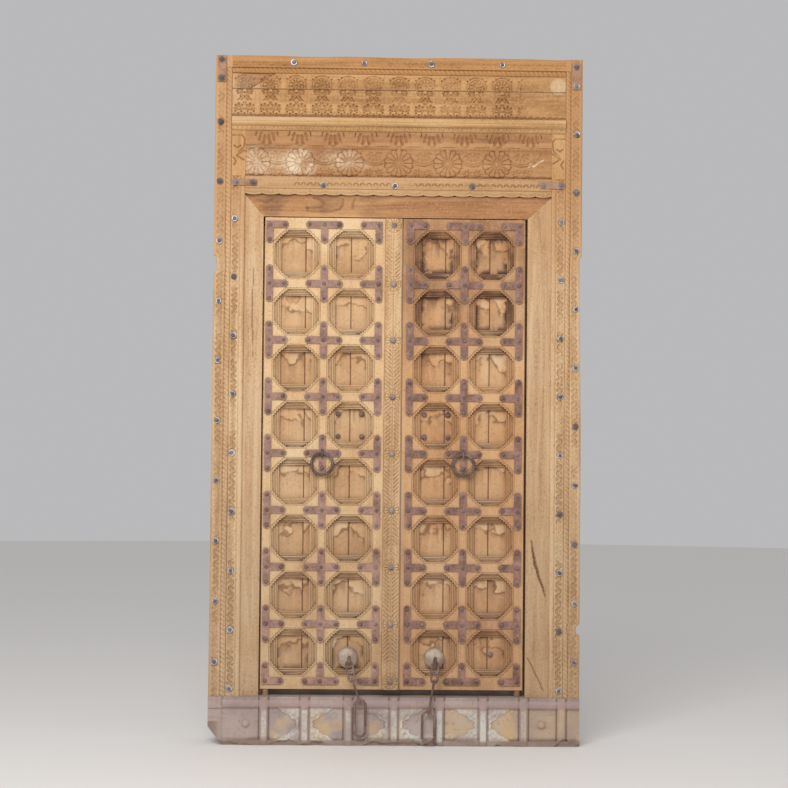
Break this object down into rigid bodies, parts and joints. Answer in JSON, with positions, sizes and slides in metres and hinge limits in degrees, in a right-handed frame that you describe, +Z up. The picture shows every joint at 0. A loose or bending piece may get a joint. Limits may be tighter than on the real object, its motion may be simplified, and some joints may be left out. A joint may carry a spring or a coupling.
{
  "type": "carved temple door with frame",
  "caption": "Carved wooden double door in its frame: lattice leaves with iron straps on pivots, ring pulls, hasp chains, rope-twist architrave, carved friezes and a painted threshold.",
  "frame": {"origin": "middle of the underside of the threshold", "axes": "+Z upwards, -Y towards the carved front, +X to the right seen from the front"},
  "size_m": [1.18, 0.192, 2.1999],
  "materials": {
    "frame_wood": "weathered",
    "jamb_wood": "weathered",
    "frieze_wood": "weathered",
    "left_leaf_wood": "weathered",
    "right_leaf_wood": "weathered",
    "left_plank_wood": "weathered",
    "right_plank_wood": "weathered",
    "astragal_wood": "weathered",
    "back_wood": "weathered",
    "sill_paint": "worn paint",
    "boss_wood": "weathered",
    "strap_iron": "rusted",
    "nail_iron": "rusted",
    "ring_iron": "rusted",
    "chain_iron": "rusted"
  },
  "bodies": {
    "frame": {"threshold": "sill_paint", "left_post": "jamb_wood", "right_post": "jamb_wood", "head_beam": "jamb_wood", "header_boards": "back_wood", "left_outer_architrave": "frame_wood", "right_outer_architrave": "frame_wood", "top_rail": "frame_wood", "left_inner_architrave": "frame_wood", "right_inner_architrave": "frame_wood", "lower_header_rail": "frame_wood", "upper_frieze_top_board": "frieze_wood", "upper_frieze_bottom_board": "frieze_wood", "shelf_moulding": "frieze_wood", "lower_frieze_panel": "frieze_wood", "left_frieze_block": "frieze_wood", "right_frieze_block": "frieze_wood", "corner_patches": "strap_iron", "frame_nails": "nail_iron"},
    "left_leaf": {"left_leaf_stiles": "left_leaf_wood", "left_leaf_rails": "left_leaf_wood", "left_leaf_planks": "left_plank_wood", "left_leaf_ledges": "back_wood", "left_leaf_cross_straps": "strap_iron", "left_leaf_edge_straps": "strap_iron", "left_leaf_corner_straps": "strap_iron", "left_leaf_strap_nails": "nail_iron", "left_leaf_window_nails": "nail_iron", "left_ring_staple": "nail_iron", "left_chain_boss": "boss_wood", "left_chain_staple": "nail_iron", "astragal": "astragal_wood", "astragal_nails": "nail_iron"},
    "left_ring": {"left_ring": "ring_iron"},
    "left_chain_link": {"left_chain_link": "chain_iron"},
    "left_chain_rod": {"left_chain_rod": "chain_iron"},
    "left_chain_loop": {"left_chain_loop": "chain_iron"},
    "right_leaf": {"right_leaf_stiles": "right_leaf_wood", "right_leaf_rails": "right_leaf_wood", "right_leaf_planks": "right_plank_wood", "right_leaf_ledges": "back_wood", "right_leaf_cross_straps": "strap_iron", "right_leaf_edge_straps": "strap_iron", "right_leaf_corner_straps": "strap_iron", "right_leaf_strap_nails": "nail_iron", "right_leaf_window_nails": "nail_iron", "right_ring_staple": "nail_iron", "right_chain_boss": "boss_wood", "right_chain_staple": "nail_iron"},
    "right_ring": {"right_ring": "ring_iron"},
    "right_chain_link": {"right_chain_link": "chain_iron"},
    "right_chain_rod": {"right_chain_rod": "chain_iron"},
    "right_chain_loop": {"right_chain_loop": "chain_iron"}
  },
  "joints": [
    {"name": "left_leaf_pivot", "type": "hinge", "parent": "frame", "child": "left_leaf", "pos_m": [-0.411, -0.024, 0.5], "axis": [0, 0, -1], "range_deg": [0, 100]},
    {"name": "left_ring_hinge", "type": "hinge", "parent": "left_leaf", "child": "left_ring", "pos_m": [-0.23653, -0.049, 0.9253], "axis": [-1, 0, 0], "range_deg": [0, 100]},
    {"name": "left_chain_link_hinge", "type": "hinge", "parent": "left_leaf", "child": "left_chain_link", "pos_m": [-0.14579, -0.095, 0.26685], "axis": [-1, 0, 0], "range_deg": [0, 70]},
    {"name": "left_chain_rod_hinge", "type": "hinge", "parent": "left_chain_link", "child": "left_chain_rod", "pos_m": [-0.13219, -0.095, 0.20485], "axis": [-1, 0, 0], "range_deg": [0, 65]},
    {"name": "left_chain_loop_hinge", "type": "hinge", "parent": "left_chain_rod", "child": "left_chain_loop", "pos_m": [-0.10809, -0.095, 0.14685], "axis": [-1, 0, 0], "range_deg": [0, 60]},
    {"name": "right_leaf_pivot", "type": "hinge", "parent": "frame", "child": "right_leaf", "pos_m": [0.3945, -0.024, 0.5], "axis": [0, 0, 1], "range_deg": [0, 100]},
    {"name": "right_ring_hinge", "type": "hinge", "parent": "right_leaf", "child": "right_ring", "pos_m": [0.21597, -0.049, 0.9253], "axis": [-1, 0, 0], "range_deg": [0, 100]},
    {"name": "right_chain_link_hinge", "type": "hinge", "parent": "right_leaf", "child": "right_chain_link", "pos_m": [0.12921, -0.095, 0.26585], "axis": [-1, 0, 0], "range_deg": [0, 70]},
    {"name": "right_chain_rod_hinge", "type": "hinge", "parent": "right_chain_link", "child": "right_chain_rod", "pos_m": [0.12621, -0.095, 0.20285], "axis": [-1, 0, 0], "range_deg": [0, 65]},
    {"name": "right_chain_loop_hinge", "type": "hinge", "parent": "right_chain_rod", "child": "right_chain_loop", "pos_m": [0.10851, -0.095, 0.11285], "axis": [-1, 0, 0], "range_deg": [0, 60]}
  ]
}
